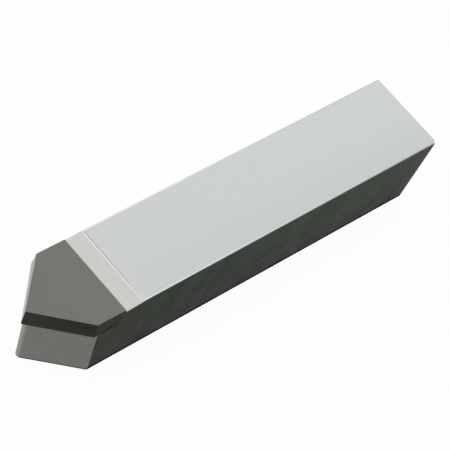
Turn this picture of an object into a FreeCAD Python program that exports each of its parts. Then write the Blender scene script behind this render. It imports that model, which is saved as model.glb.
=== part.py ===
import FreeCAD, Part
import math
import os
import Sketcher

# Brazed carbide lathe tool: a square steel shank with a symmetrical V nose, a
# carbide tip laid in an open seat at its front end, and the thin L-shaped layer
# of silver braze that holds the tip.
# Millimetres. +X points to the cutting point, +Y to the left flank, +Z up out of
# the rake face. The origin is the middle of the underside of the whole tool.

# Driving dimensions, in millimetres and degrees
SIZES = (
    ("overall_length", "114.3"),
    ("shank_width", "19.05"),
    ("shank_height", "19.05"),
    ("nose_angle", "80"),
    ("tip_length", "19.05"),
    ("tip_relief", "7"),
    ("tip_rake", "0.7"),
    ("tip_stand", "0.05"),
    ("tip_nose_radius", "0.2"),
    ("tip_heel_chamfer", "0.6"),
    ("tip_overhang", "0.55"),
    ("seat_depth", "4.6"),
    ("seat_corner_radius", "0.8"),
    ("braze_thickness", "0.12"),
    ("steel_clearance", "10"),
    ("steel_nose_radius", "1"),
    ("front_edge_radius", "0.6"),
    ("land_length", "4.8"),
    ("land_drop", "0.15"),
    ("land_shoulder", "45"),
    ("top_edge_break", "0.3"),
    ("bottom_edge_radius", "0.4"),
    ("rear_corner_radius", "0.6"),
)

# Stations and levels that several pieces share, worked out from the sheet
HALF_WIDTH = "(Sizes.shank_width / 2)"
HALF_NOSE = "(Sizes.nose_angle / 2 * 1 deg)"
REAR = "(-Sizes.overall_length / 2)"
# The sharp point that the rounded cutting point is ground back from
POINT = f"(Sizes.overall_length / 2 + Sizes.tip_nose_radius * (1 / sin({HALF_NOSE}) - 1))"
TIP_BACK = f"({POINT} - Sizes.tip_length)"
SEAT_BACK = f"({TIP_BACK} - Sizes.braze_thickness)"
SEAT_FLOOR = "(Sizes.shank_height - Sizes.seat_depth)"
TIP_FLOOR = f"({SEAT_FLOOR} + Sizes.braze_thickness)"
HEEL_FRONT = f"({TIP_BACK} + Sizes.tip_heel_chamfer)"
HEEL_TOP = f"({TIP_FLOOR} + Sizes.tip_heel_chamfer)"
LAND_LEVEL = "(Sizes.shank_height - Sizes.land_drop)"
LAND_BACK = f"({TIP_BACK} - Sizes.land_length)"
SHOULDER_RUN = "(Sizes.land_drop / tan(Sizes.land_shoulder * 1 deg))"
TIP_BACK_LEVEL = "(Sizes.shank_height + Sizes.tip_stand)"
RAKE_SLOPE = "tan(Sizes.tip_rake * 1 deg)"
POINT_LEVEL = f"({TIP_BACK_LEVEL} + Sizes.tip_length * {RAKE_SLOPE})"
# How far the point falls back down the relief, and again behind the overhang
RELIEF_SETBACK = f"(({POINT_LEVEL} - {TIP_FLOOR}) * tan(Sizes.tip_relief * 1 deg) / sin({HALF_NOSE}))"
STEEL_POINT = f"({POINT} - {RELIEF_SETBACK} - Sizes.tip_overhang / sin({HALF_NOSE}))"
# Where a cut leaves the stock, it runs on for one shank width
PAST_FRONT = "(Sizes.overall_length / 2 + Sizes.shank_width)"
PAST_TOP = "(Sizes.shank_height + Sizes.shank_width)"


def make_sheet(doc):
    """Put the driving dimensions in a spreadsheet, one alias to each."""
    sheet = doc.addObject("Spreadsheet::Sheet", "Sizes")
    for row, (alias, value) in enumerate(SIZES, start=1):
        sheet.set(f"A{row}", alias)
        sheet.set(f"B{row}", value)
        sheet.setAlias(f"B{row}", alias)
    doc.recompute()
    return sheet


def value_of(expression):
    """Work an expression out from the sheet as it stands."""
    return float(sheet.evalExpression(expression))


def origin_plane(body, role):
    """Find one of the body's own origin planes by its role."""
    return next(item for item in body.Origin.OriginFeatures if item.Role == role)


def polygon_sketch(body, name, role, corners, shift=None):
    """Draw a closed outline on an origin plane, with each corner bound to the sheet."""
    sketch = body.newObject("Sketcher::SketchObject", name)
    sketch.AttachmentSupport = [(origin_plane(body, role), "")]
    sketch.MapMode = "FlatFace"
    if shift:
        sketch.setExpression("AttachmentOffset.Base.z", shift)
    points = [FreeCAD.Vector(value_of(across), value_of(up), 0) for across, up in corners]
    for here, there in zip(points, points[1:] + points[:1]):
        sketch.addGeometry(Part.LineSegment(here, there), False)
    for index, point in enumerate(points):
        before = (index - 1) % len(points)
        sketch.addConstraint(Sketcher.Constraint("Coincident", before, 2, index, 1))
        across, up = corners[index]
        pin(sketch, "DistanceX", index, across, point.x)
        pin(sketch, "DistanceY", index, up, point.y)
    return sketch


def pin(sketch, kind, line, expression, start):
    """Hold the start of a line at a bound distance from the sketch's origin."""
    if expression == "0":
        axis = -2 if kind == "DistanceX" else -1
        sketch.addConstraint(Sketcher.Constraint("PointOnObject", line, 1, axis))
        return
    number = sketch.addConstraint(Sketcher.Constraint(kind, -1, 1, line, 1, start))
    sketch.setExpression(f"Constraints[{number}]", expression)


def side_pad(body, name, corners):
    """Pad a side view evenly to both flanks of the shank."""
    pad = body.newObject("PartDesign::Pad", name)
    pad.Profile = polygon_sketch(body, name + "Side", "XZ_Plane", corners)
    pad.setExpression("Length", "Sizes.shank_width")
    pad.Midplane = True
    doc.recompute()
    return pad


def side_cut(body, name, corners):
    """Cut a side view right across the piece, past both flanks."""
    cut = body.newObject("PartDesign::Pocket", name)
    cut.Profile = polygon_sketch(body, name + "Side", "XZ_Plane", corners)
    cut.setExpression("Length", "2 * Sizes.shank_width")
    cut.Midplane = True
    return settled(cut)


def grind_nose(body, name, point, level, relief):
    """Grind both faces of the V, which lean inwards below a level by the relief angle.

    The first face is drawn as seen along its own edge and cut past both ends of it.
    """
    lean = f"tan({relief} * 1 deg)"
    sketch = polygon_sketch(body, name + "Section", "XZ_Plane", (
        (f"-{level} * {lean}", "0"),
        ("Sizes.shank_width", "0"),
        ("Sizes.shank_width", PAST_TOP),
        (f"({PAST_TOP} - {level}) * {lean}", PAST_TOP),
    ))
    about_up = FreeCAD.Rotation(FreeCAD.Vector(0, 1, 0), value_of(f"90 - {HALF_NOSE} / 1 deg"))
    sketch.AttachmentOffset = FreeCAD.Placement(FreeCAD.Vector(), about_up)
    sketch.setExpression("AttachmentOffset.Base.x", point)
    sketch.setExpression("AttachmentOffset.Rotation.Angle", f"90 deg - {HALF_NOSE}")
    cut = body.newObject("PartDesign::Pocket", name + "Left")
    cut.Profile = sketch
    cut.setExpression("Length", "4 * Sizes.shank_width")
    cut.Midplane = True
    settled(cut)
    twin = body.newObject("PartDesign::Mirrored", name)
    twin.Originals = [cut]
    twin.MirrorPlane = (origin_plane(body, "XZ_Plane"), [""])
    body.Tip = twin
    return settled(twin)


def settled(feature):
    """Recompute a feature that works on its base, and stop if it failed or changed nothing."""
    doc.recompute()
    if "Invalid" in feature.State:
        raise RuntimeError(f"{feature.Name} failed: {feature.getStatusString()}")
    if near(feature.Shape.Volume, feature.BaseFeature.Shape.Volume):
        raise RuntimeError(f"{feature.Name} changed nothing")
    return feature


def rounded(body, name, base, edges, radius):
    """Round the named edges of a feature."""
    fillet = body.newObject("PartDesign::Fillet", name)
    fillet.Base = (base, edges)
    fillet.setExpression("Radius", radius)
    return settled(fillet)


def bevelled(body, name, base, edges, size):
    """Break the named edges of a feature at 45 degrees."""
    chamfer = body.newObject("PartDesign::Chamfer", name)
    chamfer.Base = (base, edges)
    chamfer.setExpression("Size", size)
    return settled(chamfer)


def grind_steel_front(body, prefix):
    """Give a piece that ends under the tip the front of the steel, with its corners rounded."""
    ground = grind_nose(body, prefix + "Clearance", STEEL_POINT, SEAT_FLOOR, "Sizes.steel_clearance")
    point = edges_between(ground, is_nose_face, is_nose_face)
    blunted = rounded(body, prefix + "NoseRound", ground, point, "Sizes.steel_nose_radius")
    cheeks = edges_between(blunted, is_nose_face, is_flank)
    return rounded(body, prefix + "FlankRound", blunted, cheeks, "Sizes.front_edge_radius")


def is_nose_face(normal):
    """Tell a face of the V by its outward normal."""
    return normal.x > 0.2 and abs(normal.y) > 0.2


def is_flank(normal):
    """Tell a flank of the shank by its outward normal."""
    return abs(normal.y) > 0.999


def is_rear(normal):
    """Tell the rear end by its outward normal."""
    return normal.x < -0.999


def is_wall(normal):
    """Tell an upright face that lies square across the shank."""
    return abs(normal.x) > 0.999


def is_level(normal):
    """Tell a level face, such as the seat's floor or the underside."""
    return abs(normal.z) > 0.999


def faces_up(normal):
    """Tell a level or sloping face that looks up."""
    return normal.z > 0.5


def faces_out(normal):
    """Tell an upright face that looks to a side or to the rear."""
    return abs(normal.z) < 0.5 and normal.x < 0.5


def middle_normal(face):
    """Give a face's outward normal at the middle of its surface."""
    low_u, high_u, low_v, high_v = face.ParameterRange
    return face.normalAt((low_u + high_u) / 2, (low_v + high_v) / 2)


def faces_where(feature, test):
    """Name the faces of a feature whose normal passes a test."""
    faces = enumerate(feature.Shape.Faces, start=1)
    return [f"Face{number}" for number, face in faces if test(middle_normal(face))]


def edges_between(feature, one, other, place=None):
    """Name the edges where a face that passes one test meets a face that passes the other.

    A place, where it is given, is a test that every end of the edge has to pass too.
    """
    names = []
    for number, edge in enumerate(feature.Shape.Edges, start=1):
        normals = [middle_normal(face) for face in feature.Shape.ancestorsOfType(edge, Part.Face)]
        meets = len(normals) == 2 and any(one(a) and other(b) for a, b in (normals, normals[::-1]))
        if meets and (place is None or all(place(vertex.Point) for vertex in edge.Vertexes)):
            names.append(f"Edge{number}")
    return names


def near(one, other):
    """Tell whether two coordinates are the same place."""
    return math.isclose(one, other, abs_tol=1e-4)


def make_shank():
    """Bar with a V nose that leans back to the clearance angle, seat and ground land."""
    body = doc.addObject("PartDesign::Body", "shank")
    bar = body.newObject("PartDesign::Pad", "Bar")
    bar.Profile = polygon_sketch(body, "BarSection", "YZ_Plane", (
        (f"-{HALF_WIDTH}", "0"),
        (HALF_WIDTH, "0"),
        (HALF_WIDTH, "Sizes.shank_height"),
        (f"-{HALF_WIDTH}", "Sizes.shank_height"),
    ), shift=REAR)
    bar.setExpression("Length", "Sizes.overall_length")
    doc.recompute()

    front = grind_steel_front(body, "Steel")
    rear = edges_between(front, is_rear, is_flank)
    corners = rounded(body, "RearCorners", front, rear, "Sizes.rear_corner_radius")
    underside = faces_where(corners, lambda normal: normal.z < -0.999)
    rounded(body, "FootRound", corners, underside, "Sizes.bottom_edge_radius")
    side_cut(body, "Seat", (
        (SEAT_BACK, SEAT_FLOOR),
        (PAST_FRONT, SEAT_FLOOR),
        (PAST_FRONT, PAST_TOP),
        (SEAT_BACK, PAST_TOP),
    ))
    land = side_cut(body, "Land", (
        (f"{LAND_BACK} + {SHOULDER_RUN}", LAND_LEVEL),
        (PAST_FRONT, LAND_LEVEL),
        (PAST_FRONT, PAST_TOP),
        (LAND_BACK, PAST_TOP),
        (LAND_BACK, "Sizes.shank_height"),
    ))
    root = round_seat_root(body, "SeatRoot", land)
    above_seat = value_of(f"({SEAT_FLOOR} + {LAND_LEVEL}) / 2")
    rim = edges_between(root, faces_up, faces_out, lambda point: point.z > above_seat)
    bevelled(body, "TopBreak", root, rim, "Sizes.top_edge_break")
    return body


def round_seat_root(body, name, base):
    """Round the corner where the seat's floor meets its back wall."""
    back = value_of(SEAT_BACK)
    floor = value_of(SEAT_FLOOR)

    def at_root(point):
        return near(point.x, back) and near(point.z, floor)

    corner = edges_between(base, is_wall, is_level, at_root)
    return rounded(body, name, base, corner, "Sizes.seat_corner_radius")


def make_braze():
    """Silver braze on the seat's floor and back wall: a filling of the seat, less the tip's room."""
    body = doc.addObject("PartDesign::Body", "braze_joint")
    side_pad(body, "Filling", (
        (SEAT_BACK, SEAT_FLOOR),
        (POINT, SEAT_FLOOR),
        (POINT, LAND_LEVEL),
        (SEAT_BACK, LAND_LEVEL),
    ))
    round_seat_root(body, "FillingRoot", grind_steel_front(body, "Filling"))
    side_cut(body, "TipRoom", (
        (HEEL_FRONT, TIP_FLOOR),
        (PAST_FRONT, TIP_FLOOR),
        (PAST_FRONT, PAST_TOP),
        (TIP_BACK, PAST_TOP),
        (TIP_BACK, HEEL_TOP),
    ))
    return body


def make_tip():
    """Carbide blank ground to its relief, with a chamfered heel and a small nose radius."""
    body = doc.addObject("PartDesign::Body", "carbide_tip")
    side_pad(body, "Blank", (
        (HEEL_FRONT, TIP_FLOOR),
        (POINT, TIP_FLOOR),
        (POINT, POINT_LEVEL),
        (TIP_BACK, TIP_BACK_LEVEL),
        (TIP_BACK, HEEL_TOP),
    ))
    relief = grind_nose(body, "Relief", POINT, POINT_LEVEL, "Sizes.tip_relief")
    point = edges_between(relief, is_nose_face, is_nose_face)
    rounded(body, "TipNoseRound", relief, point, "Sizes.tip_nose_radius")
    return body


def write_pieces(bodies):
    """Stop on any failed feature or bad shape, then write one STEP file to each piece."""
    doc.recompute()
    for item in doc.Objects:
        if {"Invalid", "Error"} & set(item.State):
            raise RuntimeError(f"{item.Label} failed")
    for body in bodies:
        if body.Shape.isNull() or not body.Shape.isValid() or len(body.Shape.Solids) != 1:
            raise RuntimeError(f"{body.Label} is not one valid solid")
    os.makedirs("parts", exist_ok=True)
    for body in bodies:
        body.Shape.exportStep(f"parts/{body.Label}.step")
        print(f"{body.Label}: {body.Shape.Volume:.2f} mm3")


doc = FreeCAD.newDocument("BrazedTool")
sheet = make_sheet(doc)
write_pieces([make_shank(), make_braze(), make_tip()])
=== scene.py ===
"""Looks of a brazed carbide lathe tool: ground steel shank, silver braze and carbide tip."""

import logging
import math
from collections.abc import Callable
from dataclasses import dataclass, field
from enum import Enum

import bmesh
import bpy
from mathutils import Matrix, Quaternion, Vector


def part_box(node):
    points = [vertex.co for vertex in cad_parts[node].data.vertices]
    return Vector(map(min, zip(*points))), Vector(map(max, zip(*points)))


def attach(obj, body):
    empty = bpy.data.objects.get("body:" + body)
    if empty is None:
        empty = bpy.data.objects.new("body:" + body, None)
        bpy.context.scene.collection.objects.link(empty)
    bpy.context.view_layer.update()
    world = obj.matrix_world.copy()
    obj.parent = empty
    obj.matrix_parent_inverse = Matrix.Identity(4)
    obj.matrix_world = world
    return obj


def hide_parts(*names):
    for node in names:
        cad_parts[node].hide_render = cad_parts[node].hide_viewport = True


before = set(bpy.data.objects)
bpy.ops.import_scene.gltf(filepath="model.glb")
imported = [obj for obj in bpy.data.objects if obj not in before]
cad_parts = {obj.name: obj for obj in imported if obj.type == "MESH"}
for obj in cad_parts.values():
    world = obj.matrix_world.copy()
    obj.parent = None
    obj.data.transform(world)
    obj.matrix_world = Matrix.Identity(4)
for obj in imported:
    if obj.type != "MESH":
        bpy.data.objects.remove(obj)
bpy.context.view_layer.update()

log = logging.getLogger("lathe_tool")

MM = 0.001
# Places closer than this are one place
HAIR = 0.05 * MM
# How far a face looks along an axis, by the part of its normal along it
TRUE = 0.999
MOSTLY = 0.5
PARTLY = 0.2
SLIGHTLY = 0.1
# The faces of a V look down by more than the first of these and less than the second
LEAST_LEAN = 0.05
MOST_LEAN = 0.3
# The flats of a V look forwards less than this, and the round of its ridge more
RIDGE = 0.65
# The flats of a V look sideways less than this, and the flanks more
SIDEWAYS = 0.8
# A bevel is a round of one face
BEVEL = 1
# Faces that meet at less than this angle are shaded as one
SMOOTH_ANGLE = math.radians(35.0)
# What a grain ranges over, apart from its rare lightest and darkest specks
GRAIN_LOW = 0.3
GRAIN_HIGH = 0.7

SHANK_LOW, SHANK_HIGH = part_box("shank")
BRAZE_LOW, BRAZE_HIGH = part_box("braze_joint")
TIP_LOW, TIP_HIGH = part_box("carbide_tip")

NormalTest = Callable[[Vector], bool]
Item = bmesh.types.BMVert | bmesh.types.BMEdge | bmesh.types.BMFace
Socket = bpy.types.NodeSocket


class Pick(Enum):
    """What is picked in edit mode."""

    CORNERS = "VERT"
    EDGES = "EDGE"
    FACES = "FACE"


class Lay(Enum):
    """Which way the marks of a wheel run, as a turn about the upright axis in degrees."""

    ALONG_SHANK = 0.0
    ACROSS_SHANK = 90.0
    ALONG_NOSE_FACE = 140.0


class Guide(Enum):
    """What a fade follows: a place, in metres, or how far the surface's normal leans."""

    LENGTH = ("place", "X")
    WIDTH = ("place", "Y")
    HEIGHT = ("place", "Z")
    SIDEWAYS = ("normal", "Y")
    UPWARD = ("normal", "Z")


def linear(colour: str) -> tuple[float, float, float, float]:
    """Turn an sRGB hex colour into a linear one.

    Args:
        colour: six hex digits, two each for red, green and blue.

    Returns:
        The linear colour with full alpha.
    """
    def decode(part: float) -> float:
        """Undo the sRGB curve for one channel."""
        return part / 12.92 if part <= 0.04045 else ((part + 0.055) / 1.055) ** 2.4

    red, green, blue = (decode(int(colour[place:place + 2], 16) / 255) for place in (0, 2, 4))
    return red, green, blue, 1.0


def add_node(tree: bpy.types.NodeTree, kind: str, sockets: dict[str | int, object] | None = None,
             **settings: object) -> bpy.types.Node:
    """Add a node with its settings and links.

    Args:
        tree: the node tree that takes the node.
        kind: Blender's name for the type of node.
        sockets: for each input, by name or number, a value or the output socket that feeds it.
        settings: properties of the node itself.

    Returns:
        The new node.
    """
    node = tree.nodes.new("ShaderNode" + kind)
    for name, value in settings.items():
        setattr(node, name, value)
    for name, source in (sockets or {}).items():
        if isinstance(source, Socket):
            tree.links.new(source, node.inputs[name])
        else:
            node.inputs[name].default_value = source
    return node


def blank_material(name: str) -> tuple[bpy.types.Material, bpy.types.Node, Socket]:
    """Start a material.

    Args:
        name: the material's name.

    Returns:
        The material, its shader and its object coordinates.
    """
    material = bpy.data.materials.new(name)
    material.use_nodes = True
    place = add_node(material.node_tree, "TexCoord").outputs["Object"]
    return material, material.node_tree.nodes["Principled BSDF"], place


@dataclass(frozen=True)
class Grain:
    """A grain whose specks have a real length, width and height, in millimetres, and a lay."""

    length: float
    width: float
    height: float
    lay: Lay = Lay.ALONG_SHANK
    detail: float = 2.0
    fine_share: float = 0.6

    def draw(self, tree: bpy.types.NodeTree, place: Socket) -> Socket:
        """Draw the grain.

        Args:
            tree: the node tree that takes the pattern.
            place: the coordinates that it follows.

        Returns:
            The grain, mostly between GRAIN_LOW and GRAIN_HIGH.
        """
        placed = add_node(tree, "Mapping", {
            "Vector": place,
            "Rotation": (0.0, 0.0, math.radians(self.lay.value)),
            "Scale": (self.length * MM, self.width * MM, self.height * MM),
        }, vector_type="TEXTURE")
        noise = add_node(tree, "TexNoise", {
            "Vector": placed.outputs["Vector"],
            "Scale": 1.0,
            "Detail": self.detail,
            "Roughness": self.fine_share,
        })
        return noise.outputs["Fac"]


@dataclass(frozen=True)
class Fade:
    """A change of a finish from one place or lean of the surface to another."""

    guide: Guide
    none_at: float
    full_at: float
    least: float = 0.0

    def draw(self, tree: bpy.types.NodeTree, place: Socket) -> Socket:
        """Draw the fade.

        Args:
            tree: the node tree that takes the fade.
            place: the surface's coordinates.

        Returns:
            A share, from the least at one end to 1 at the other.
        """
        source, axis = self.guide.value
        if source == "normal":
            normal = add_node(tree, "NewGeometry").outputs["Normal"]
            place = add_node(tree, "VectorMath", {0: normal}, operation="ABSOLUTE").outputs[0]
        reading = add_node(tree, "SeparateXYZ", {0: place}).outputs[axis]
        share = add_node(tree, "MapRange", {
            "Value": reading,
            "From Min": self.none_at,
            "From Max": self.full_at,
            "To Min": self.least,
        })
        return share.outputs["Result"]


@dataclass(frozen=True)
class Stain:
    """A change to another tone, full where its fade is full."""

    fade: Fade
    tone: str

    def lay(self, tree: bpy.types.NodeTree, place: Socket, ground: Socket) -> Socket:
        """Lay the stain over a tone.

        Args:
            tree: the node tree that takes the stain.
            place: the surface's coordinates.
            ground: the tone beneath.

        Returns:
            The stained tone.
        """
        stained = add_node(tree, "Mix", {
            0: self.fade.draw(tree, place),
            6: ground,
            7: linear(self.tone),
        }, data_type="RGBA")
        return stained.outputs[2]


@dataclass(frozen=True)
class GroundMetal:
    """Bare metal from a grinding wheel: an even satin face with faint marks along the wheel's path.

    Wheel marks are a few hundredths of a millimetre apart, too fine to show, so they are drawn
    ten times as coarse.
    """

    name: str
    light: str
    dark: str
    roughness: float
    lay: Lay = Lay.ALONG_SHANK
    edge_tint: str = "ffffff"
    stains: tuple[Stain, ...] = ()
    specks: Grain = Grain(0.5, 0.5, 0.5)
    clouds: Grain = Grain(12.0, 12.0, 12.0)
    mark_length: float = 2.5
    mark_width: float = 0.35
    mark_height: float = 0.001
    mark_strength: float = 0.5
    cloud_share: float = 0.5
    light_up_to: float = 0.95
    dark_from: float = 1.55
    roughness_play: float = 0.03

    def make(self) -> bpy.types.Material:
        """Build the material.

        Returns:
            The material.
        """
        material, shader, place = blank_material(self.name)
        tree = material.node_tree
        along = place
        if self.lay is Lay.ALONG_NOSE_FACE:
            # Both faces of the V are ground alike, so the left one's marks serve the right one too
            along = add_node(tree, "VectorMath", {0: place}, operation="ABSOLUTE").outputs[0]
        marks = Grain(self.mark_length, self.mark_width, self.mark_width, self.lay).draw(tree, along)
        specks = self.specks.draw(tree, place)
        clouds = self.clouds.draw(tree, place)
        fine = add_node(tree, "Math", {0: marks, 1: specks}, operation="ADD")
        whole = add_node(tree, "Math", {
            0: clouds,
            1: self.cloud_share,
            2: fine.outputs[0],
        }, operation="MULTIPLY_ADD")
        share = add_node(tree, "MapRange", {
            "Value": whole.outputs[0],
            "From Min": self.light_up_to,
            "From Max": self.dark_from,
        })
        tone = add_node(tree, "Mix", {
            0: share.outputs["Result"],
            6: linear(self.light),
            7: linear(self.dark),
        }, data_type="RGBA").outputs[2]
        for stain in self.stains:
            tone = stain.lay(tree, place, tone)
        tree.links.new(tone, shader.inputs["Base Color"])
        satin = add_node(tree, "MapRange", {
            "Value": marks,
            "From Min": GRAIN_LOW,
            "From Max": GRAIN_HIGH,
            "To Min": self.roughness - self.roughness_play,
            "To Max": self.roughness + self.roughness_play,
        })
        tree.links.new(satin.outputs["Result"], shader.inputs["Roughness"])
        bump = add_node(tree, "Bump", {
            "Height": marks,
            "Strength": self.mark_strength,
            "Distance": self.mark_height * MM,
        })
        tree.links.new(bump.outputs["Normal"], shader.inputs["Normal"])
        shader.inputs["Metallic"].default_value = 1.0
        shader.inputs["Specular Tint"].default_value = linear(self.edge_tint)
        return material


@dataclass(frozen=True)
class RubbedMetal:
    """Bare metal that is rubbed to another tone where its fades are full, in soft patches."""

    name: str
    rubbed: str
    dull: str
    roughness: float
    fades: tuple[Fade, ...] = ()
    patches: Grain = Grain(3.0, 3.0, 3.0)
    patch_depth: float = 0.15
    patch_low: float = 0.35
    patch_high: float = 0.65

    def make(self) -> bpy.types.Material:
        """Build the material.

        Returns:
            The material.
        """
        material, shader, place = blank_material(self.name)
        tree = material.node_tree
        patchy = add_node(tree, "MapRange", {
            "Value": self.patches.draw(tree, place),
            "From Min": self.patch_low,
            "From Max": self.patch_high,
            "To Min": 1.0 - self.patch_depth,
            "To Max": 1.0,
        })
        share = patchy.outputs["Result"]
        for fade in self.fades:
            faded = add_node(tree, "Math", {0: share, 1: fade.draw(tree, place)}, operation="MULTIPLY")
            share = faded.outputs[0]
        tone = add_node(tree, "Mix", {
            0: share,
            6: linear(self.dull),
            7: linear(self.rubbed),
        }, data_type="RGBA")
        tree.links.new(tone.outputs[2], shader.inputs["Base Color"])
        shader.inputs["Metallic"].default_value = 1.0
        shader.inputs["Roughness"].default_value = self.roughness
        return material


@dataclass(frozen=True)
class BlackSkin:
    """A matt black skin with fine specks and faint soft blotches, lighter towards the rear.

    The specks of such a skin are a few hundredths of a millimetre wide, too fine to show, so they
    are drawn ten times as coarse.
    """

    name: str
    front: str
    rear: str
    roughness: float
    blotch: str = "cccccc"
    specular: float = 0.05
    stains: tuple[Stain, ...] = ()
    specks: Grain = Grain(0.5, 0.5, 0.5, detail=1.0)
    blotches: Grain = Grain(4.0, 4.0, 4.0)
    drift: Grain = Grain(18.0, 18.0, 18.0, detail=1.0)
    speck_height: float = 0.008
    speck_strength: float = 0.4
    blotch_share: float = 0.08
    plain_up_to: float = 0.33
    blotched_from: float = 0.83
    roughness_play: float = 0.06

    def make(self) -> bpy.types.Material:
        """Build the material.

        Returns:
            The material.
        """
        material, shader, place = blank_material(self.name)
        tree = material.node_tree
        towards_rear = Fade(Guide.LENGTH, FORM.seat_back, SHANK_LOW.x).draw(tree, place)
        tone = add_node(tree, "Mix", {
            0: towards_rear,
            6: linear(self.front),
            7: linear(self.rear),
        }, data_type="RGBA").outputs[2]
        for stain in self.stains:
            tone = stain.lay(tree, place, tone)
        specks = self.specks.draw(tree, place)
        blotches = self.blotches.draw(tree, place)
        soft = add_node(tree, "Math", {0: self.drift.draw(tree, place), 1: blotches}, operation="ADD")
        whole = add_node(tree, "Math", {
            0: soft.outputs[0],
            1: self.blotch_share,
            2: specks,
        }, operation="MULTIPLY_ADD")
        share = add_node(tree, "MapRange", {
            "Value": whole.outputs[0],
            "From Min": self.plain_up_to,
            "From Max": self.blotched_from,
        })
        blotched = add_node(tree, "Mix", {
            0: share.outputs["Result"],
            6: tone,
            7: linear(self.blotch),
        }, data_type="RGBA", blend_type="MULTIPLY")
        tree.links.new(blotched.outputs[2], shader.inputs["Base Color"])
        matt = add_node(tree, "MapRange", {
            "Value": blotches,
            "From Min": GRAIN_LOW,
            "From Max": GRAIN_HIGH,
            "To Min": self.roughness - self.roughness_play,
            "To Max": self.roughness + self.roughness_play,
        })
        tree.links.new(matt.outputs["Result"], shader.inputs["Roughness"])
        bump = add_node(tree, "Bump", {
            "Height": specks,
            "Strength": self.speck_strength,
            "Distance": self.speck_height * MM,
        })
        tree.links.new(bump.outputs["Normal"], shader.inputs["Normal"])
        shader.inputs["Specular IOR Level"].default_value = self.specular
        return material


def pick(piece: bpy.types.Object, kind: Pick, what: str, test: Callable[[Item], bool]) -> None:
    """Select the corners, edges or faces of a piece that pass a test, in edit mode.

    Args:
        piece: the object that is in edit mode.
        kind: corners, edges or faces.
        what: what they are, for the message if there are none.
        test: takes one item of the mesh being edited.
    """
    bpy.ops.mesh.select_mode(type=kind.value)
    bpy.ops.mesh.select_all(action="DESELECT")
    mesh = bmesh.from_edit_mesh(piece.data)
    mesh.normal_update()
    items = {Pick.CORNERS: mesh.verts, Pick.EDGES: mesh.edges, Pick.FACES: mesh.faces}[kind]
    found = [item for item in items if test(item)]
    if not found:
        raise RuntimeError(f"{piece.name} has no {what}")
    for item in found:
        item.select_set(True)
    bmesh.update_edit_mesh(piece.data)


def block(name: str, low: Vector, high: Vector) -> bpy.types.Object:
    """Add a block between two corners and start to edit it.

    Args:
        name: the name of the new object.
        low: its lowest corner.
        high: its highest corner.

    Returns:
        The block, in edit mode.
    """
    if bpy.context.mode != "OBJECT":
        bpy.ops.object.mode_set(mode="OBJECT")
    bpy.ops.object.select_all(action="DESELECT")
    bpy.ops.mesh.primitive_cube_add(size=1.0, location=(low + high) / 2, scale=high - low)
    made = bpy.context.object
    made.name = name
    made.data.name = name
    bpy.ops.object.transform_apply(location=True, rotation=True, scale=True)
    bpy.ops.object.mode_set(mode="EDIT")
    return made


def grind_off(place: Vector, outward: Vector) -> None:
    """Cut the piece being edited at a plane, and close the cut.

    Args:
        place: a point of the plane.
        outward: the plane's normal, towards what is ground off.
    """
    bpy.ops.mesh.select_mode(type="FACE")
    bpy.ops.mesh.select_all(action="SELECT")
    bpy.ops.mesh.bisect(plane_co=place, plane_no=outward, use_fill=True, clear_outer=True)


def round_off(piece: bpy.types.Object, what: str, reach: float, steps: int,
              test: Callable[[bmesh.types.BMEdge], bool]) -> None:
    """Round the edges of a piece that pass a test, or bevel them with a single step.

    Args:
        piece: the object that is in edit mode.
        what: what the edges are.
        reach: how far the round reaches along each face, in metres.
        steps: how many faces make it.
        test: takes one edge.
    """
    pick(piece, Pick.EDGES, what, test)
    bpy.ops.mesh.bevel(offset_type="OFFSET", offset=reach, segments=steps, profile=0.5, affect="EDGES")


def cut_out(piece: bpy.types.Object, cutter: bpy.types.Object) -> None:
    """Take a cutter's shape out of a piece, remove the cutter and go back to editing the piece.

    Args:
        piece: the object that is cut.
        cutter: the shape that goes, in edit mode.
    """
    bpy.ops.object.mode_set(mode="OBJECT")
    bpy.ops.object.select_all(action="DESELECT")
    piece.select_set(True)
    bpy.context.view_layer.objects.active = piece
    bpy.ops.object.modifier_add(type="BOOLEAN")
    modifier = piece.modifiers[-1]
    modifier.operation = "DIFFERENCE"
    modifier.solver = "EXACT"
    modifier.object = cutter
    bpy.ops.object.modifier_apply(modifier=modifier.name)
    bpy.data.objects.remove(cutter)
    bpy.ops.object.mode_set(mode="EDIT")


def dress(piece: bpy.types.Object, finish: bpy.types.Material, what: str,
          test: Callable[[bmesh.types.BMFace], bool]) -> None:
    """Give the faces that pass a test a finish of their own.

    Args:
        piece: the object that is in edit mode.
        finish: the material.
        what: what the faces are.
        test: takes one face.
    """
    if finish.name not in piece.data.materials:
        piece.data.materials.append(finish)
    piece.active_material_index = piece.data.materials.find(finish.name)
    pick(piece, Pick.FACES, what, test)
    bpy.ops.object.material_slot_assign()


def hand_over(piece: bpy.types.Object, node: str) -> None:
    """Finish a piece's shading and let it stand for its CAD node.

    Args:
        piece: the object that is in edit mode.
        node: the CAD node that it replaces.
    """
    bpy.ops.mesh.select_all(action="SELECT")
    bpy.ops.mesh.normals_make_consistent(inside=False)
    bpy.ops.object.mode_set(mode="OBJECT")
    bpy.ops.object.shade_smooth_by_angle(angle=SMOOTH_ANGLE)
    bpy.ops.object.modifier_add(type="WEIGHTED_NORMAL")
    modifier = piece.modifiers[-1]
    modifier.keep_sharp = True
    bpy.ops.object.modifier_apply(modifier=modifier.name)
    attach(piece, "root")
    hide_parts(node)
    log.info("%s: %d faces, %d finishes", piece.name, len(piece.data.polygons), len(piece.data.materials))


def joins(edge: bmesh.types.BMEdge, one: NormalTest, other: NormalTest) -> bool:
    """Tell whether an edge lies between faces of two kinds.

    Args:
        edge: the edge.
        one: a test of a face's normal.
        other: the test of the other face's normal.

    Returns:
        True if the edge's faces pass one test each.
    """
    normals = [face.normal for face in edge.link_faces]
    return len(normals) == 2 and any(one(a) and other(b) for a, b in (normals, normals[::-1]))


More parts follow.
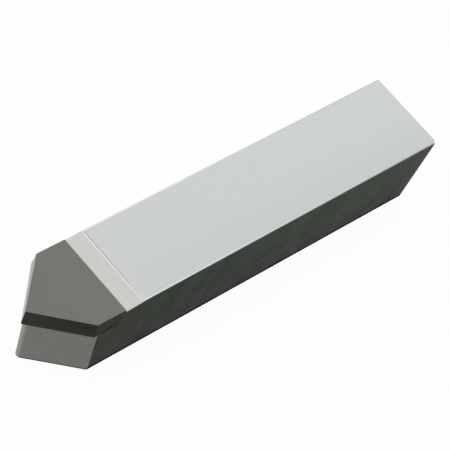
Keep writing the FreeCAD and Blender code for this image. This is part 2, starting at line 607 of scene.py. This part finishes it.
def middle(item: Item) -> Vector:
    """Give the middle of an edge's or a face's corners."""
    return sum((vert.co for vert in item.verts), Vector()) / len(item.verts)


def looks_forward(normal: Vector) -> bool:
    """Tell a face of the front."""
    return normal.x > PARTLY


def leans_back(normal: Vector) -> bool:
    """Tell a face whose foot lies further back than its top, as on the V."""
    return -MOST_LEAN < normal.z < -LEAST_LEAN


def is_nose(normal: Vector) -> bool:
    """Tell a face of the V."""
    return looks_forward(normal) and abs(normal.y) > PARTLY


def is_flank(normal: Vector) -> bool:
    """Tell a flank."""
    return abs(normal.y) > TRUE


def is_rear(normal: Vector) -> bool:
    """Tell a face that looks straight to the rear."""
    return normal.x < -TRUE


def is_wall(normal: Vector) -> bool:
    """Tell an upright face square across the shank."""
    return abs(normal.x) > TRUE


def is_level(normal: Vector) -> bool:
    """Tell a level face."""
    return abs(normal.z) > TRUE


def faces_down(normal: Vector) -> bool:
    """Tell a level face that looks down."""
    return normal.z < -TRUE


def faces_up(normal: Vector) -> bool:
    """Tell a level or sloping face that looks up."""
    return normal.z > MOSTLY


def faces_out(normal: Vector) -> bool:
    """Tell an upright face that looks to a side or to the rear."""
    return abs(normal.z) < MOSTLY and normal.x < MOSTLY


@dataclass(frozen=True)
class Nose:
    """The V of the nose: its sharp point, the level of that point and the lean of its faces.

    The right face may be turned a little, and lie a little further out at the ridge.
    """

    point: float
    level: float
    lean: float
    half_angle: float
    right_turn: float = 0.0
    right_excess: float = 0.0

    def grind(self) -> None:
        """Grind both faces of the V into the piece being edited."""
        for side, turn, excess in ((1, 0.0, 0.0), (-1, self.right_turn, self.right_excess)):
            angle = self.half_angle - turn
            flat = Vector((math.sin(angle), side * math.cos(angle), 0.0))
            outward = flat * math.cos(self.lean) - Vector((0.0, 0.0, math.sin(self.lean)))
            grind_off(Vector((self.point, 0.0, self.level)) + outward * excess, outward)

    def blunt(self, piece: bpy.types.Object, radius: float, steps: int) -> None:
        """Round the ridge of the V.

        Args:
            piece: the object that is in edit mode.
            radius: the radius of the nose.
            steps: how many faces make it.
        """
        round_off(piece, "nose ridge", radius / math.tan(self.half_angle), steps,
                  lambda edge: joins(edge, is_nose, is_nose))


@dataclass(frozen=True)
class ToolForm:
    """What the pieces share, in metres and radians: levels from the CAD boxes, angles and rounds."""

    half_width: float = SHANK_HIGH.y
    top: float = SHANK_HIGH.z
    seat_back: float = BRAZE_LOW.x
    seat_floor: float = BRAZE_LOW.z
    land_level: float = BRAZE_HIGH.z
    tip_back: float = TIP_LOW.x
    tip_floor: float = TIP_LOW.z
    tip_radius: float = 0.2 * MM
    tip_stand: float = 0.05 * MM
    tip_relief: float = math.radians(7.0)
    rake: float = math.radians(0.7)
    heel: float = 0.6 * MM
    overhang: float = 0.55 * MM
    clearance: float = math.radians(10.0)
    half_angle: float = math.radians(40.0)
    # The steel's right face is off by this much, as hand grinding leaves it
    right_turn: float = math.radians(1.8)
    right_excess: float = 0.16 * MM
    seat_root: float = 0.8 * MM
    seat_root_steps: int = 5
    steel_radius: float = 1.0 * MM
    steel_steps: int = 8
    cheek_radius: float = 0.6 * MM
    cheek_steps: int = 4

    @property
    def point(self) -> float:
        """Give where the sharp point of the tip would be."""
        return TIP_HIGH.x + self.tip_radius * (1 / math.sin(self.half_angle) - 1)

    @property
    def point_level(self) -> float:
        """Give the level of the sharp point."""
        return self.top + self.tip_stand + (self.point - self.tip_back) * math.tan(self.rake)

    @property
    def above_seat(self) -> float:
        """Give a level halfway up the seat's back wall, which parts the rim from what lies below."""
        return (self.seat_floor + self.land_level) / 2

    @property
    def tip_nose(self) -> Nose:
        """Give the V of the carbide."""
        return Nose(self.point, self.point_level, self.tip_relief, self.half_angle)

    @property
    def steel_nose(self) -> Nose:
        """Give the V of the steel, behind the overhang of the carbide and ground less evenly."""
        fall = (self.point_level - self.tip_floor) * math.tan(self.tip_relief)
        back = (fall + self.overhang) / math.sin(self.half_angle)
        return Nose(self.point - back, self.seat_floor, self.clearance, self.half_angle,
                    self.right_turn, self.right_excess)

    def grind_steel_front(self, piece: bpy.types.Object) -> None:
        """Give a piece that ends under the tip the front of the steel, with its corners rounded.

        Args:
            piece: the object that is in edit mode.
        """
        self.steel_nose.grind()
        self.steel_nose.blunt(piece, self.steel_radius, self.steel_steps)
        # A corner turns by half the nose angle, so its round reaches this share of its radius
        reach = self.cheek_radius * math.tan(self.half_angle / 2)
        round_off(piece, "flank corners", reach, self.cheek_steps,
                  lambda edge: joins(edge, is_nose, is_flank))

    def round_seat_root(self, piece: bpy.types.Object) -> None:
        """Round the corner where the seat's floor meets its back wall.

        Args:
            piece: the object that is in edit mode.
        """
        def at_root(edge: bmesh.types.BMEdge) -> bool:
            """Tell the edge in that corner."""
            away = middle(edge) - Vector((self.seat_back, 0.0, self.seat_floor))
            return joins(edge, is_wall, is_level) and math.hypot(away.x, away.z) < HAIR

        round_off(piece, "seat root", self.seat_root, self.seat_root_steps, at_root)


FORM = ToolForm()


@dataclass
class Shank:
    """The square bar with its V nose, its seat and the land behind the tip, in metres."""

    land_length: float = 4.8 * MM
    rear_radius: float = 0.6 * MM
    rear_steps: int = 6
    foot_radius: float = 0.3 * MM
    foot_steps: int = 4
    edge_break: float = 0.3 * MM
    edge_steps: int = 2
    # How deep the knock at the corner is, and how far it looks up for one part to the side
    corner_knock: float = 0.6 * MM
    knock_rise: float = 0.6
    # The painted contact shadow along the foot reaches this high on the sides, and the next one on the front
    foot_shadow_height: float = 1.05 * MM
    front_foot_shadow_height: float = 0.55 * MM
    # The grey line lies between these distances behind the lip of the top
    grey_line_near: float = 0.05 * MM
    grey_line_far: float = 0.36 * MM
    # How far a block or a cutter runs past what is kept
    spare: float = 5.0 * MM

    # Surface ground tool steel: a bright, even, faintly blue satin, a little duller towards the
    # brazed end, which the heat has tinted, and towards the left edge
    top: GroundMetal = GroundMetal("surface_ground_steel", "d1d5d4", "cdd1d0", 0.38,
                                   stains=(Stain(Fade(Guide.LENGTH, -50.0 * MM, 40.0 * MM), "cdd0cf"),
                                           Stain(Fade(Guide.WIDTH, -1.5 * MM, 9.0 * MM), "c9cdcc"),
                                           Stain(Fade(Guide.LENGTH, 30.0 * MM, 33.0 * MM), "cfcfce")))
    # Tool steel ground across the bar after brazing: the same satin, warmer from the heat
    land: GroundMetal = GroundMetal("cross_ground_steel", "d2d3ce", "c9cac5", 0.42, Lay.ACROSS_SHANK,
                                    stains=(Stain(Fade(Guide.WIDTH, 2.0 * MM, 9.0 * MM), "cfcbc7"),
                                            Stain(Fade(Guide.WIDTH, 6.5 * MM, 8.8 * MM), "cfcfca")))
    # Tool steel ground on a coarse wheel, with marks along each face of the V, in a mid grey that is painted
    # shade: darker than the top where the faces look forward and down
    front: GroundMetal = GroundMetal("wheel_ground_steel_painted_shade", "6c6d67", "64655f", 0.42, Lay.ALONG_NOSE_FACE)
    # Milled steel, only open at the ends of the seat: a plain grey satin
    seat: GroundMetal = GroundMetal("milled_steel", "a8aaa8", "8c8e8c", 0.4, Lay.ACROSS_SHANK)
    # Steel blackened by hot oxide: matt greenish black with soft blotches, turned neutral towards the foot
    # and warm by the heat of brazing, and lighter towards the rear corner
    skin: BlackSkin = BlackSkin("black_oxide_steel", "333b31", "455044", 0.65, "b6acb4",
                                stains=(Stain(Fade(Guide.HEIGHT, 10.0 * MM, -8.0 * MM), "413d40"),
                                        Stain(Fade(Guide.LENGTH, 29.0 * MM, 34.0 * MM), "3c4036"),
                                        Stain(Fade(Guide.LENGTH, -51.5 * MM, -55.6 * MM), "535552")))
    # The same oxide round the foot of the sides and the front, painted dead black: a painted contact shadow
    # along the foot
    foot: BlackSkin = BlackSkin("oxide_steel_painted_contact_shadow", "0c0c0b", "0c0c0c", 0.8, specular=0.0)
    # Oxide over the marks of a saw: matt black with faint level lines
    sawn: BlackSkin = BlackSkin("black_oxide_sawn_steel", "3e443d", "40463f", 0.6, "a6a6a6",
                                specks=Grain(6.0, 6.0, 0.35))
    # Tool steel where the wheel of the land ran out, painted as a clean bright line: a painted highlight on
    # the slope, softer to the left
    shoulder: RubbedMetal = RubbedMetal("wheel_run_out_painted_highlight_steel", "eeeeea", "dadad5", 0.4,
                                        (Fade(Guide.WIDTH, 9.0 * MM, 3.0 * MM),))
    # A grey line on the top just behind its lip, darker than the top, that dies out to the left
    grey_line: RubbedMetal = RubbedMetal("grey_line_steel", "b0b0ac", "cdd0cf", 0.4,
                                    (Fade(Guide.WIDTH, 8.0 * MM, 3.0 * MM),), Grain(1.5, 1.5, 1.5), 0.5)
    # Broken edges of the top, with one corner knocked blunt, all rubbed by handling, and with a painted
    # highlight where they face up: brightest towards the tip, grey lower down
    rim: RubbedMetal = RubbedMetal("rubbed_rim_painted_highlight_steel", "eceeec", "8e9192", 0.4,
                                   (Fade(Guide.UPWARD, 0.45, 0.9),
                                    Fade(Guide.LENGTH, -50.0 * MM, 28.0 * MM, 0.5)))
    # Round nose of the steel, with a painted highlight: lighter than the ground faces beside it, most where
    # it looks straight forward
    nose_highlight: RubbedMetal = RubbedMetal("nose_round_painted_highlight_steel", "8e8f8a", "6a6b66", 0.4,
                                      (Fade(Guide.SIDEWAYS, 0.7, 0.1),))

    def build(self) -> None:
        """Model and dress the shank."""
        shank = self.forge()
        self.mill(shank)
        self.finish(shank)
        hand_over(shank, "shank")

    def forge(self) -> bpy.types.Object:
        """Make the bar with its V nose, its rounded corners and its knocked one.

        Returns:
            The bar, in edit mode.
        """
        far = Vector((FORM.point + self.spare, FORM.half_width, FORM.top))
        shank = block("shank_ground", SHANK_LOW, far)
        FORM.grind_steel_front(shank)
        round_off(shank, "rear corners", self.rear_radius, self.rear_steps,
                  lambda edge: joins(edge, is_rear, is_flank))
        self.knock_corner()
        round_off(shank, "foot", self.foot_radius, self.foot_steps,
                  lambda edge: joins(edge, faces_down, lambda normal: normal.z > -TRUE))
        self.part_foot_shadow(shank)
        return shank

    def knock_corner(self) -> None:
        """Blunt the left rear upper corner of the piece being edited, as a knock left it."""
        corner = Vector((SHANK_LOW.x, FORM.half_width, FORM.top))
        outward = Vector((-1.0, 1.0, self.knock_rise)).normalized()
        grind_off(corner - outward * self.corner_knock, outward)

    def part_foot_shadow(self, shank: bpy.types.Object) -> None:
        """Part the sides and the front where the painted contact shadow along the foot ends.

        Args:
            shank: the bar, in edit mode.
        """
        pick(shank, Pick.FACES, "sides",
             lambda face: faces_out(face.normal) and abs(face.normal.z) < SLIGHTLY)
        bpy.ops.mesh.bisect(plane_co=(0.0, 0.0, self.foot_shadow_height), plane_no=(0.0, 0.0, 1.0))
        pick(shank, Pick.FACES, "front",
             lambda face: looks_forward(face.normal) and face.normal.z > -MOST_LEAN)
        bpy.ops.mesh.bisect(plane_co=(0.0, 0.0, self.front_foot_shadow_height), plane_no=(0.0, 0.0, 1.0))

    def mill(self, shank: bpy.types.Object) -> None:
        """Cut the seat and the land into the bar, and break the edges of the top.

        Args:
            shank: the bar, in edit mode.
        """
        past = Vector((FORM.point, FORM.half_width, FORM.top)) + Vector((1.0, 1.0, 1.0)) * self.spare
        seat = block("seat_cutter", Vector((FORM.seat_back, -past.y, FORM.seat_floor)), past)
        cut_out(shank, seat)
        # The land's shoulder slopes at 45 degrees, so its foot lies one drop in front of its top
        drop = FORM.top - FORM.land_level
        foot = self.lip + drop
        land = block("land_cutter", Vector((foot, -past.y, FORM.land_level)),
                     Vector((past.x, past.y, FORM.top + drop)))
        pick(land, Pick.EDGES, "upper rear edge", lambda edge: joins(edge, is_rear, faces_up))
        bpy.ops.transform.translate(value=(-2 * drop, 0.0, 0.0))
        cut_out(shank, land)
        FORM.round_seat_root(shank)
        # A plane breaks the rear edge of the top, and a round the rest of the rim
        grind_off(Vector((SHANK_LOW.x + self.edge_break, 0.0, FORM.top)), Vector((-1.0, 0.0, 1.0)))
        round_off(shank, "rim", self.edge_break, self.edge_steps,
                  lambda edge: joins(edge, is_level, faces_out) and middle(edge).z > FORM.above_seat)
        for away in (self.grey_line_near, self.grey_line_far):
            pick(shank, Pick.FACES, "top", self.on_top)
            bpy.ops.mesh.bisect(plane_co=(self.lip - away, 0.0, FORM.top), plane_no=(1.0, 0.0, 0.0))

    @property
    def lip(self) -> float:
        """Give where the top ends and the land's shoulder starts."""
        return FORM.tip_back - self.land_length

    def on_top(self, face: bmesh.types.BMFace) -> bool:
        """Tell a face of the shank's top."""
        return is_level(face.normal) and abs(middle(face).z - FORM.top) < HAIR

    def finish(self, shank: bpy.types.Object) -> None:
        """Give each surface of the shank the finish that its maker left on it.

        Args:
            shank: the shank, in edit mode.
        """
        grey_line_middle = self.lip - (self.grey_line_near + self.grey_line_far) / 2
        dress(shank, self.skin.make(), "faces", lambda face: True)
        dress(shank, self.sawn.make(), "rear end", lambda face: is_rear(face.normal))
        # The nose faces get a steel whose colour carries painted shade
        dress(shank, self.front.make(), "nose faces",
              lambda face: looks_forward(face.normal) and leans_back(face.normal))
        # The nose round gets a painted highlight
        dress(shank, self.nose_highlight.make(), "nose round",
              lambda face: face.normal.x > RIDGE and leans_back(face.normal))
        # Painted contact shadow: dead black faces along the foot
        dress(shank, self.foot.make(), "foot",
              lambda face: middle(face).z < self.foot_shadow_height and not faces_down(face.normal))
        dress(shank, self.seat.make(), "seat",
              lambda face: middle(face).x > FORM.seat_back - HAIR and middle(face).z > FORM.seat_floor - HAIR)
        # The rim is rubbed metal with a painted highlight on its upward facets
        dress(shank, self.rim.make(), "rim",
              lambda face: SLIGHTLY < face.normal.z < TRUE and face.normal.x < SLIGHTLY
              and middle(face).z > FORM.above_seat)
        dress(shank, self.land.make(), "land",
              lambda face: face.normal.z > SLIGHTLY and middle(face).x > self.lip + HAIR
              and middle(face).z > FORM.land_level - self.edge_break)
        # The shoulder gets a painted highlight
        dress(shank, self.shoulder.make(), "shoulder",
              lambda face: face.normal.x > MOSTLY and faces_up(face.normal)
              and middle(face).z > FORM.above_seat)
        dress(shank, self.top.make(), "top", self.on_top)
        dress(shank, self.grey_line.make(), "grey_line",
              lambda face: self.on_top(face) and abs(middle(face).x - grey_line_middle) < HAIR)


@dataclass
class BrazeJoint:
    """The thin layer of silver braze between the seat and the tip, in metres."""

    recess: float = 0.05 * MM
    # Silver brazing alloy ground flush on the land and the nose: a thin warm grey line
    alloy: GroundMetal = GroundMetal("silver_braze_alloy", "605d57", "4c4a44", 0.45, Lay.ALONG_NOSE_FACE)
    # The same alloy under burnt flux at the flanks: dead black
    burnt: BlackSkin = BlackSkin("flux_burnt_braze", "0a0a09", "0a0a09", 0.8, specular=0.0)

    def build(self) -> None:
        """Model and dress the braze: a filling of the seat, less the tip's room."""
        side = FORM.half_width - self.recess
        filling = block("braze_layer", Vector((FORM.seat_back, -side, FORM.seat_floor)),
                        Vector((FORM.point, side, FORM.land_level)))
        FORM.grind_steel_front(filling)
        FORM.round_seat_root(filling)
        spare = Vector((FORM.half_width, FORM.half_width, FORM.half_width))
        far = Vector((FORM.point, FORM.half_width, FORM.land_level)) + spare
        room = block("tip_room", Vector((FORM.tip_back, -far.y, FORM.tip_floor)), far)
        round_off(room, "heel", FORM.heel, BEVEL, lambda edge: joins(edge, is_rear, faces_down))
        cut_out(filling, room)
        dress(filling, self.alloy.make(), "faces", lambda face: True)
        dress(filling, self.burnt.make(), "flanks", lambda face: abs(face.normal.y) > SIDEWAYS)
        hand_over(filling, "braze_joint")


@dataclass
class CarbideTip:
    """The cemented carbide blank, ground on its rake face and its two relief faces, in metres."""

    point_steps: int = 6
    hone: float = 0.06 * MM
    side_round: float = 0.1 * MM
    side_steps: int = 2
    # The right relief turns upright over this height, and its corner lies this far forwards
    upright_height: float = 3.0 * MM
    upright_reach: float = 0.59 * MM

    # Cemented carbide lapped on its rake face: an even mid-grey satin with no marks to see
    rake_face: GroundMetal = GroundMetal("lapped_carbide", "797a75", "747570", 0.35,
                                         stains=(Stain(Fade(Guide.LENGTH, 44.0 * MM, 58.0 * MM), "757671"),))
    # Cemented carbide ground on a diamond wheel: glossy, in a near-black tone that is painted shade, so that
    # it lightens only where it is seen edge-on, a little paler towards the right and above the braze
    relief: GroundMetal = GroundMetal("diamond_ground_carbide_painted_shade", "222220", "121211", 0.12, Lay.ALONG_NOSE_FACE,
                                      edge_tint="e0e0d9", specks=Grain(0.8, 0.8, 0.8),
                                      stains=(Stain(Fade(Guide.WIDTH, 7.5 * MM, -6.0 * MM), "2d2e2c"),
                                              Stain(Fade(Guide.HEIGHT, FORM.tip_floor + 1.6 * MM,
                                                         FORM.tip_floor - 0.4 * MM), "272826"),
                                              Stain(Fade(Guide.WIDTH, -0.2 * MM, -2.5 * MM), "4a4a47")))
    # Cemented carbide as it was pressed and sintered: matt black with rounded edges, and
    # blackened by burnt flux above the braze
    side: BlackSkin = BlackSkin("pressed_carbide", "242519", "242519", 0.6,
                                stains=(Stain(Fade(Guide.HEIGHT, FORM.tip_floor + 1.3 * MM,
                                                   FORM.tip_floor + 0.4 * MM), "0a0a09"),
                                        Stain(Fade(Guide.LENGTH, FORM.tip_back + 0.3 * MM,
                                                   FORM.tip_back + 0.05 * MM), "1a1a18")))

    def build(self) -> None:
        """Model and dress the tip."""
        high = Vector((FORM.point + FORM.half_width, FORM.half_width, FORM.point_level + MM))
        tip = block("carbide_tip_ground", TIP_LOW, high)
        slope = Vector((-math.sin(FORM.rake), 0.0, math.cos(FORM.rake)))
        grind_off(Vector((FORM.tip_back, 0.0, FORM.top + FORM.tip_stand)), slope)
        FORM.tip_nose.grind()
        FORM.tip_nose.blunt(tip, FORM.tip_radius, self.point_steps)
        round_off(tip, "heel", FORM.heel, BEVEL, lambda edge: joins(edge, is_rear, faces_down))
        round_off(tip, "flank edges", self.side_round, self.side_steps,
                  lambda edge: joins(edge, faces_up, is_flank))
        round_off(tip, "cutting edge", self.hone, BEVEL,
                  lambda edge: joins(edge, is_level, lambda normal: abs(normal.z) < MOSTLY)
                  and middle(edge).z > FORM.land_level)
        self.ease_right_relief(tip)
        dress(tip, self.side.make(), "faces", lambda face: True)
        # The relief faces get a near-black tone that is painted shade
        dress(tip, self.relief.make(), "relief", lambda face: looks_forward(face.normal))
        dress(tip, self.rake_face.make(), "rake face",
              lambda face: faces_up(face.normal) and (is_level(face.normal) or abs(face.normal.x) > PARTLY))
        hand_over(tip, "carbide_tip")

    def ease_right_relief(self, tip: bpy.types.Object) -> None:
        """Turn the upper part of the right relief upright towards the flank, as its wheel left it.

        Args:
            tip: the blank, in edit mode.
        """
        level = FORM.top - self.upright_height
        pick(tip, Pick.FACES, "right relief",
             lambda face: leans_back(face.normal) and face.normal.x < RIDGE and face.normal.y < 0.0)
        bpy.ops.mesh.bisect(plane_co=(0.0, 0.0, level), plane_no=(0.0, 0.0, 1.0))
        pick(tip, Pick.CORNERS, "corner of the cut",
             lambda corner: abs(corner.co.z - level) < HAIR and corner.co.y < HAIR - FORM.half_width)
        bpy.ops.transform.translate(value=(self.upright_reach, 0.0, 0.0))


@dataclass
class Studio:
    """The floor, the lights and the camera, in metres and degrees."""

    aim: Vector = field(default_factory=lambda: Vector((-4.24, -0.09, 9.5)) * MM)
    azimuth: float = 112.521
    elevation: float = 45.595
    distance: float = 597.75 * MM
    roll: float = 31.776
    lens: float = 233.53
    near: float = 0.01
    far: float = 20.0
    floor_radius: float = 3.0
    floor_sides: int = 96
    floor_gap: float = 0.05 * MM
    # How pale the paper is, and what share of it shows plain white instead of the light on it
    paper: float = 0.9
    seen_share: float = 0.955
    fill: float = 0.6
    key_place: Vector = field(default_factory=lambda: Vector((0.6, -0.8, 1.5)))
    key_size: float = 2.4
    key_power: float = 24.0

    def build(self) -> None:
        """Set up the floor, the lights and the camera."""
        self.lay_floor()
        self.light()
        self.place_camera()

    def seen(self, tree: bpy.types.NodeTree) -> Socket:
        """Tell camera, glossy and transmission rays, which see the white surroundings.

        Args:
            tree: the node tree that asks.

        Returns:
            A socket that is 1 for those rays and 0 for others.
        """
        rays = add_node(tree, "LightPath").outputs
        seen = rays["Is Camera Ray"]
        for name in ("Is Glossy Ray", "Is Transmission Ray"):
            seen = add_node(tree, "Math", {0: seen, 1: rays[name]}, operation="MAXIMUM").outputs[0]
        return seen

    def lay_floor(self) -> None:
        """Lay a white paper floor that keeps a faint shadow."""
        bpy.ops.object.select_all(action="DESELECT")
        bpy.ops.mesh.primitive_circle_add(vertices=self.floor_sides, radius=self.floor_radius,
                                          fill_type="NGON", location=(0.0, 0.0, -self.floor_gap))
        floor = bpy.context.object
        floor.name = "paper_floor"
        material = bpy.data.materials.new("white_paper")
        material.use_nodes = True
        tree = material.node_tree
        tree.nodes.clear()
        share = add_node(tree, "Math", {0: self.seen(tree), 1: self.seen_share}, operation="MULTIPLY")
        paper = add_node(tree, "BsdfDiffuse", {"Color": (self.paper, self.paper, self.paper, 1.0)})
        glow = add_node(tree, "Emission", {"Strength": 1.0})
        mix = add_node(tree, "MixShader", {0: share.outputs[0], 1: paper.outputs[0], 2: glow.outputs[0]})
        add_node(tree, "OutputMaterial", {"Surface": mix.outputs[0]})
        floor.data.materials.append(material)

    def light(self) -> None:
        """Light the tool softly from all round, with a large lamp high up at its front right."""
        world = bpy.data.worlds.new("studio")
        bpy.context.scene.world = world
        world.use_nodes = True
        tree = world.node_tree
        tree.nodes.clear()
        fill = add_node(tree, "Background", {"Color": (1.0, 1.0, 1.0, 1.0), "Strength": self.fill})
        white = add_node(tree, "Background", {"Color": (1.0, 1.0, 1.0, 1.0), "Strength": 1.0})
        mix = add_node(tree, "MixShader", {0: self.seen(tree), 1: fill.outputs[0], 2: white.outputs[0]})
        add_node(tree, "OutputWorld", {"Surface": mix.outputs[0]})
        facing = (-self.key_place).to_track_quat("-Z", "Y")
        bpy.ops.object.light_add(type="AREA", location=self.key_place, rotation=facing.to_euler())
        lamp = bpy.context.object
        lamp.name = "key_lamp"
        lamp.data.size = self.key_size
        lamp.data.energy = self.key_power
        # Metal shows the white surroundings alone, so no face of it flares from any side
        lamp.visible_glossy = False

    def place_camera(self) -> None:
        """Place the camera at the photograph's viewing angle."""
        turn, rise = math.radians(self.azimuth), math.radians(self.elevation)
        back = Vector((math.sin(turn) * math.cos(rise), -math.cos(turn) * math.cos(rise), math.sin(rise)))
        facing = (-back).to_track_quat("-Z", "Y") @ Quaternion((0.0, 0.0, 1.0), math.radians(self.roll))
        bpy.ops.object.camera_add(location=self.aim + back * self.distance, rotation=facing.to_euler())
        camera = bpy.context.object
        camera.data.lens = self.lens
        camera.data.clip_start = self.near
        camera.data.clip_end = self.far
        bpy.context.scene.camera = camera


def main() -> None:
    """Build the tool, piece by piece, and its studio."""
    logging.basicConfig(level=logging.INFO, format="%(message)s")
    bpy.context.scene.view_settings.view_transform = "Standard"
    for part in (Shank(), BrazeJoint(), CarbideTip(), Studio()):
        part.build()


if __name__ == "__main__":
    main()
